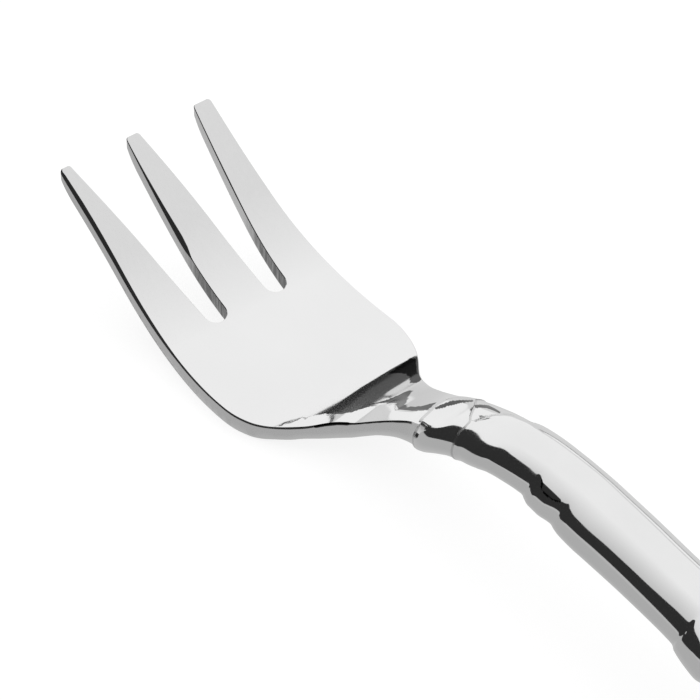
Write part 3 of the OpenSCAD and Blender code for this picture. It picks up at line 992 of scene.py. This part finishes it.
def flat_head(head):
    """The head as a flat slab, with its edge loops and the values that bend it."""
    s = head.s
    ends_d = [float(head_end(np.array(side * s.neck_w / 2))) for side in (1, -1)]
    flanks = head_outline(head, *ends_d)
    normal = outward_normals(flanks)
    bevel = bevel_width(flanks[:, 0], flanks[:, 1], normal[:, 0])
    reach = np.maximum(line(flanks[:, 1], REACH_D, REACH), bevel + REACH_MARGIN * MM)
    # How deep the painted shade on the walls of the slots lies, growing towards the slot ends
    slot_shade = np.clip((flanks[:, 1] / MM - SLOT_DARK_D) / SLOT_DARK_LEN, 0, 1)
    in_slot = np.abs(flanks[:, 0]) < head.half_w(flanks[:, 1]) - SLOT_MARGIN * MM
    # the neck's end follows the collar's front border, from the left flank to the right
    ends_x = np.linspace(flanks[-1, 0], flanks[0, 0], NECK_END_POINTS)[1:-1]
    rows, values = [], {"level": [], "drop": [], "rise": [], "cut": []}
    for inset, level, drop, rise in edge_loops(s.under_round, bevel, reach):
        slack = np.minimum(inset.mean(), NECK_END_SLACK * MM)
        tail_x = ends_x * (1 - slack / (s.neck_w / 2))
        edge = flanks - normal * inset[:, None]
        loop = np.concatenate([edge, np.stack([tail_x, head_end(tail_x)], axis=1), edge[:1]])
        flat = np.full(len(loop), level)
        rows.append(np.stack([loop[:, 0], TIPS_Y - loop[:, 1], (flat - 0.5) * MM], axis=1))
        values["level"].append(flat)
        # 1 on the edges left by cutting, and up to 2 with the painted shade on the walls of the
        # slots
        cut = np.where(inset < 1e-9, 1 + slot_shade * in_slot, 0.0)
        for name, along in (("drop", drop), ("rise", rise), ("cut", cut)):
            values[name].append(np.concatenate([along, 0 * tail_x, along[:1]]))
    piece = add_grid("head", np.stack(rows))
    for name, table in values.items():
        set_values(piece, name, np.stack(table))
    close_mesh(piece)
    return piece


def cut_large_faces(piece):
    """Gives the two large faces a grid of cuts, so that they can be bent."""
    bpy.ops.object.mode_set(mode="EDIT")
    bpy.ops.mesh.select_all(action="DESELECT")
    bpy.ops.object.mode_set(mode="OBJECT")
    for face in piece.data.polygons:
        face.select = len(face.vertices) > LARGE_FACE_CORNERS
    bpy.ops.object.mode_set(mode="EDIT")
    bpy.context.tool_settings.mesh_select_mode = (False, False, True)
    bpy.ops.mesh.select_all(action="INVERT")
    bpy.ops.mesh.hide(unselected=False)
    for x in CUTS_X * MM:
        bpy.ops.mesh.select_all(action="SELECT")
        bpy.ops.mesh.bisect(plane_co=(x, 0, 0), plane_no=(1, 0, 0))
    for d in CUTS_D * MM:
        bpy.ops.mesh.select_all(action="SELECT")
        bpy.ops.mesh.bisect(plane_co=(0, TIPS_Y - d, 0), plane_no=(0, 1, 0))
    bpy.ops.mesh.reveal()
    bpy.ops.object.mode_set(mode="OBJECT")


def build_head(head, steel):
    piece = flat_head(head)
    cut_large_faces(piece)
    at = vertex_points(piece)
    x, d = at[:, 0], TIPS_Y - at[:, 1]
    level, drop, rise = (get_values(piece, name) for name in ("level", "drop", "rise"))
    upper_z = head.upper(x, d) - drop
    lower_z = head.lower(x, d) + rise
    at[:, 2] = np.maximum(level * upper_z + (1 - level) * lower_z, 0)
    place_vertices(piece, at)
    on_top, on_bevel = (level > 0.99) & (drop < 1e-9), (level > 0.99) & (drop > 1e-9)
    # Painted dark reflections on the neck and in the ramp's right-hand corner, and as a line on
    # the left bevel
    dark = (inside(x, d, NECK_PAINTED_REFLECTION) + inside(x, d, CORNER)) * on_top
    left_line = on_bevel & (x < 0) & (d > LEFT_LINE_D[0] * MM) & (d < LEFT_LINE_D[1] * MM)
    set_values(piece, "stain", np.maximum(dark, left_line))
    for name in ("level", "drop", "rise"):
        piece.data.attributes.remove(piece.data.attributes[name])
    finish_piece(piece, steel, ["fork_head"])


# ---- Collar and handle ------------------------------------------------------------------

# How far the sheaths stand off the skin that they are made from, in mm, and the part of the
# handle's lip by which the collar stands out
SHEATH_OFF = 0.02
COLLAR_LIP_SHARE = 0.6
# Loops of the collar as shares of its length, and the last of those on its front lip
COLLAR_SHARES = np.concatenate([
    [0, 0.003, 0.03, 0.06, 0.08, 0.085, 0.1, 0.12, 0.14], np.linspace(0.18, 1, 18)])
COLLAR_LIP_END = 0.083
COLLAR_DEG = np.linspace(0, 360, 145)
# Half width and half thickness of the collar's bore, in mm
BORE = (1.35, 0.85)

# Points round the outer skin of the two shells, closer together at the fine crease
UPPER_DEG = np.concatenate([
    np.linspace(0, 55, 24)[:-1], np.linspace(55, 76, 36)[:-1], np.linspace(76, 180, 55)])
LOWER_DEG = np.linspace(180, 360, 73)
# Rows of a shell, in mm: those on its lip and how many of them are cut metal, then slanting
# rows up to the first straight one, then straight ones, closer together at the rings
LIP_ROWS = np.array([0, 0.015, 0.14, 0.27, 0.28, 0.3])
LIP_CUT_ROWS = 4
SLANT_ROWS = 38
SLANT_END_D = 52.7
STRAIGHT_D = 53
RING_STEP = 0.16
PLAIN_STEP = 0.4
RING_OFFSET = 0.5
RING_NEAR = 0.9
LAST_FINE_D = 80
BUTT_ROWS_LEN = 1.2
BUTT_ROWS_GAP = 0.05
BUTT_ROWS_DEG = np.linspace(0, 88, 12)
# Length over which the lip's height fades along a shell, in mm
LIP_FADE_LEN = 6
# Part of the rounded butt that the hollow takes, the length over which it closes in mm, and
# the most that it takes of the width there
HOLLOW_SHARE = 0.75
HOLLOW_CLOSE_LEN = 3
HOLLOW_WIDTH_SHARE = 0.7


def sheath_rise(past_edge, lip, lip_len):
    """How far a sheath stands out at a distance behind its leading edge."""
    return np.where(past_edge > 1e-6, lip * (0.5 + 0.5 * np.exp(-((past_edge / lip_len) ** 2))), 0)


def build_collar(handle, steel):
    s = handle.s
    angles = np.radians(COLLAR_DEG)
    x0 = np.cos(angles) * s.mouth_w / 2
    start, stop = front_border(x0), back_border(x0)
    rows, cut, stain = [], [], []
    for t in COLLAR_SHARES:
        d = start + t * (stop - start)
        grow = SHEATH_OFF * MM + (COLLAR_LIP_SHARE * s.lip if t else 0)
        rows.append(handle.skin(angles, d, grow))
        cut.append(t < COLLAR_LIP_END)
        # Painted dark reflection: the crescent behind the front lip, on the upper half
        stain.append(inside(rows[-1][:, 0], d, CRESCENT) * (np.sin(angles) > 0))
    for d in (stop, start):
        rows.append(np.stack([
            BORE[0] * MM * np.cos(angles), TIPS_Y - d,
            handle.height(d) + BORE[1] * MM * np.sin(angles)], axis=1))
    rows.append(rows[0])
    piece = add_grid("collar_sheath", np.stack(rows))
    set_values(piece, "cut", np.repeat(cut + [False, False, True], len(angles)))
    set_values(piece, "stain", np.stack(stain + [0 * angles] * 3))
    close_mesh(piece)
    finish_piece(piece, steel, ["collar"])


def shell_rows(start):
    """Rows of a shell whose leading edge lies at start: distances from the tips."""
    rows = [start + past for past in LIP_ROWS * MM]
    first = start + LIP_ROWS[-1] * MM
    for t in np.linspace(0, 1, SLANT_ROWS)[1:-1]:
        rows.append(first + t * (SLANT_END_D * MM - start))
    straight, place = [], STRAIGHT_D * MM
    while place < OVERALL_LEN - (BUTT_ROWS_LEN + BUTT_ROWS_GAP) * MM:
        straight.append(place)
        ring = np.abs((SWELL_LEFT_D + RING_OFFSET) * MM - place).min() < RING_NEAR * MM
        place += (RING_STEP if ring and place < LAST_FINE_D * MM else PLAIN_STEP) * MM
    butt = OVERALL_LEN - BUTT_ROWS_LEN * MM * np.cos(np.radians(BUTT_ROWS_DEG)) ** 2
    return rows + [p + 0 * start for p in (*straight, *butt, OVERALL_LEN)]


def hollow_row(handle, angles, d):
    """Points of the hollow inside the shells, which closes in the butt."""
    s = handle.s
    close_len = HOLLOW_CLOSE_LEN * MM
    end = handle.butt_d + HOLLOW_SHARE * s.butt_len
    w, t = handle.half_w(d) - s.wall, handle.half_t(d) - s.wall
    w = np.where(d > end - close_len, np.minimum(w, HOLLOW_WIDTH_SHARE * handle.half_w(d)), w)
    t = t * np.sqrt(np.clip((end - d) / close_len, 0, 1))
    return np.stack([
        w * np.cos(angles), TIPS_Y - d, handle.height(d) + t * np.sin(angles)], axis=1)


def build_shell(handle, name, node, steel, degrees):
    s = handle.s
    upper = name == "handle_upper"
    angles = np.radians(degrees)
    start = back_border(np.cos(angles) * s.mouth_w / 2)
    rows = []
    for d in shell_rows(start):
        past_edge = d - start
        fade = np.clip(2 - past_edge / (LIP_FADE_LEN * MM), 0, 1)
        grow = SHEATH_OFF * MM + sheath_rise(past_edge, s.lip, s.lip_len) * fade
        if upper:
            x = np.cos(angles) * handle.half_w(d)
            grow = grow - leaf_step(x, d) - fine_crease(x, d)
        skin = handle.skin(angles, d, grow)
        rows.append(np.concatenate([skin, hollow_row(handle, angles[::-1], d[::-1]), skin[:1]]))
    points = np.stack(rows)
    piece = add_grid(name, points)
    outside = np.arange(points.shape[1]) < len(angles)
    x, d = points[..., 0], TIPS_Y - points[..., 1]
    cut = inside(x, d, LEAF_LINE) * outside * upper
    cut[:LIP_CUT_ROWS, outside] = 1
    cut[:LIP_CUT_ROWS, -1] = 1
    set_values(piece, "cut", cut)
    # Painted dark reflections: the arc over the leaf-shaped facet and, black, the patch between
    # the first two rings
    dark = inside(x, d, LEAF_ARC) + 2 * inside(x, d, RING_SHADE)
    set_values(piece, "stain", dark * outside * upper)
    close_mesh(piece)
    finish_piece(piece, steel, [node])


# ---- Studio -----------------------------------------------------------------------------

FLOOR_SIZE = 6
FLOOR_LEVEL = 0.3
FLOOR_GLOW = 0.78
TABLE_SIZE = 5.8
TABLE_Z = -0.0005

# Cards that only the steel sees, by their material and its grey. Each has its distance from
# the fork in metres and its outline as azimuth, low and high edge in degrees
BLACK = ("black_card", 0.03)
LEFT_CARD = [
    (-112, 8, 36), (-95, 8, 38), (-78, 9, 42), (-66, 8, 42), (-57, 6, 42), (-52, 3, 43),
    (-46, 0, 47), (-38, -1, 49), (-28, -2, 48), (-20, -2, 45), (-12, -2, 41), (-4, -1, 35),
    (-1, 12, 30), (1.2, 22, 27)]
CARDS = {
    "left_card": (BLACK, 2.0, LEFT_CARD),
    "left_end_card": (BLACK, 2.0, [
        (-5, -3, 0), (-1, -3, 12), (1.2, -3, 12), (2, -3, 8), (7, -2, 8)]),
    "left_edge_card": (("pale_card", 0.56), 2.0, [(a, -1, low) for a, low, _ in LEFT_CARD[:7]]),
    "far_card": (BLACK, 2.1, [(25.8, 6, 12.5), (29.6, 6, 12.5)]),
    "far_edge_card": (("dark_card", 0.095), 2.1, [(25.8, -0.5, 6), (29.6, -0.5, 6)]),
    "side_card": (("grey_card", 0.3), 2.1, [(46, -0.5, 2.5), (110, -0.5, 2.5)]),
}
CARD_COLUMNS = 41
CARD_ROWS = 5

# Strength of the sky: in the middle, how it grows along X and Y, its least and its most
SKY = 0.91
SKY_ALONG = (0.42, 0.1)
SKY_LIMITS = (0.6, 1.02)

# The camera's place in metres, the direction in which it lies from its aim in degrees, and
# its focal length and frame in pixels
CAMERA_PLACE = (-0.16374, -0.16041, 0.23315)
CAMERA_DIRECTION = (-141, 41)
SENSOR_MM = 36
FOCAL_PIXELS = 4000
FRAME_PIXELS = 700


def direction(azimuth, elevation):
    """Unit vector; azimuth in degrees from +Y towards +X, elevation up from the floor."""
    a, e = math.radians(azimuth), math.radians(elevation)
    return Vector((math.sin(a) * math.cos(e), math.cos(a) * math.cos(e), math.sin(e)))


def add_plane(name, size, z, material):
    deselect_all()
    bpy.ops.mesh.primitive_plane_add(size=size, location=(0, 0, z))
    plane = bpy.context.object
    plane.name = name
    plane.data.materials.append(material)
    return plane


def only_reflected(card):
    card.visible_camera = card.visible_diffuse = card.visible_shadow = False
    card.visible_transmission = card.visible_volume_scatter = False


def reflector(name, far, edges, material):
    """A card round the fork that only reflections see."""
    places, lows, highs = zip(*edges)
    azimuths = np.linspace(places[0], places[-1], CARD_COLUMNS)
    low, high = np.interp(azimuths, places, lows), np.interp(azimuths, places, highs)
    card = add_grid(name, np.array([
        [direction(a, e) * far for a, e in zip(azimuths, low + k * (high - low))]
        for k in np.linspace(0, 1, CARD_ROWS)]))
    only_reflected(card)
    card.data.materials.append(material)


def light_sky(scene):
    """White light from all sides, a little stronger from the right."""
    scene.world = bpy.data.worlds.new("studio")
    nodes = Nodes(scene.world)
    x, y, _ = nodes.parts(nodes.add("ShaderNodeTexCoord", output=0))
    light = SKY + x * SKY_ALONG[0] + y * SKY_ALONG[1]
    light = light.math("MINIMUM", SKY_LIMITS[1]).math("MAXIMUM", SKY_LIMITS[0])
    sky = nodes.add("ShaderNodeBackground", inputs={"Color": (1, 1, 1, 1), "Strength": light})
    nodes.add("ShaderNodeOutputWorld", inputs={"Surface": sky})


def place_camera(scene):
    data = bpy.data.cameras.new("camera")
    data.sensor_width = SENSOR_MM
    data.lens = SENSOR_MM * FOCAL_PIXELS / FRAME_PIXELS
    data.clip_start, data.clip_end = 0.01, 20
    camera = bpy.data.objects.new("camera", data)
    bpy.context.collection.objects.link(camera)
    camera.location = CAMERA_PLACE
    aim = -direction(*CAMERA_DIRECTION)
    camera.rotation_euler = aim.to_track_quat("-Z", "Y").to_euler()
    scene.camera = camera


# ---- Operators --------------------------------------------------------------------------


class FORK_OT_head(bpy.types.Operator):
    """Model the plate, the tines and the neck"""

    bl_idname = "fork.head"
    bl_label = "Fork head"

    def execute(self, context):
        looks = context.scene.fork_finishes
        build_head(Head(context.scene.fork_head_sizes), polished_steel(
            "head_steel", looks.head_steel, looks.head_cut, looks.stain, looks.head_cloud))
        return {"FINISHED"}


class FORK_OT_collar(bpy.types.Operator):
    """Model the lapped collar between the neck and the handle"""

    bl_idname = "fork.collar"
    bl_label = "Collar"

    def execute(self, context):
        looks = context.scene.fork_finishes
        build_collar(Handle(context.scene.fork_handle_sizes), polished_steel(
            "collar_steel", looks.handle_steel, looks.collar_cut, looks.stain,
            looks.handle_cloud))
        return {"FINISHED"}


class FORK_OT_shells(bpy.types.Operator):
    """Model the two shells of the handle"""

    bl_idname = "fork.shells"
    bl_label = "Handle shells"

    def execute(self, context):
        handle = Handle(context.scene.fork_handle_sizes)
        looks = context.scene.fork_finishes
        steel = polished_steel(
            "handle_steel", looks.handle_steel, looks.handle_cut, looks.handle_painted_reflection,
            looks.handle_cloud)
        build_shell(handle, "handle_upper", "upper_shell", steel, UPPER_DEG)
        build_shell(handle, "handle_lower", "lower_shell", steel, LOWER_DEG)
        return {"FINISHED"}


class FORK_OT_cement(bpy.types.Operator):
    """Give the filling of the handle the look of hard cement"""

    bl_idname = "fork.cement"
    bl_label = "Cement"

    def execute(self, context):
        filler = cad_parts["handle_filler"]
        filler.data.materials.clear()
        filler.data.materials.append(
            hard_cement("handle_cement", context.scene.fork_finishes.cement))
        return {"FINISHED"}


class FORK_OT_stage(bpy.types.Operator):
    """Set up the floor, the light and the cards that the steel reflects"""

    bl_idname = "fork.stage"
    bl_label = "Studio"

    def execute(self, context):
        floor_paper = lit_paper("floor_paper", FLOOR_LEVEL, FLOOR_GLOW)
        add_plane("floor", FLOOR_SIZE, 0, floor_paper).visible_glossy = False
        only_reflected(add_plane("table_card", TABLE_SIZE, TABLE_Z, table_glow("table_tone")))
        papers = {}
        for name, (paper, far, edges) in CARDS.items():
            if paper not in papers:
                papers[paper] = flat_glow(*paper)
            reflector(name, far, edges, papers[paper])
        light_sky(context.scene)
        place_camera(context.scene)
        context.scene.view_settings.view_transform = "Standard"
        return {"FINISHED"}


class FORK_PT_panel(bpy.types.Panel):
    bl_label = "Oyster fork"
    bl_idname = "FORK_PT_panel"
    bl_space_type = "VIEW_3D"
    bl_region_type = "UI"
    bl_category = "Fork"

    def draw(self, context):
        for operator in OPERATORS:
            self.layout.operator(operator.bl_idname)


OPERATORS = (FORK_OT_head, FORK_OT_collar, FORK_OT_shells, FORK_OT_cement, FORK_OT_stage)
CLASSES = (HeadSizes, HandleSizes, Finishes) + OPERATORS + (FORK_PT_panel,)


def register():
    for cls in CLASSES:
        bpy.utils.register_class(cls)
    bpy.types.Scene.fork_head_sizes = bpy.props.PointerProperty(type=HeadSizes)
    bpy.types.Scene.fork_handle_sizes = bpy.props.PointerProperty(type=HandleSizes)
    bpy.types.Scene.fork_finishes = bpy.props.PointerProperty(type=Finishes)


def unregister():
    del bpy.types.Scene.fork_finishes
    del bpy.types.Scene.fork_handle_sizes
    del bpy.types.Scene.fork_head_sizes
    for cls in reversed(CLASSES):
        bpy.utils.unregister_class(cls)


def main():
    register()
    bpy.ops.fork.head()
    bpy.ops.fork.collar()
    bpy.ops.fork.shells()
    bpy.ops.fork.cement()
    bpy.ops.fork.stage()


if __name__ == "__main__":
    main()
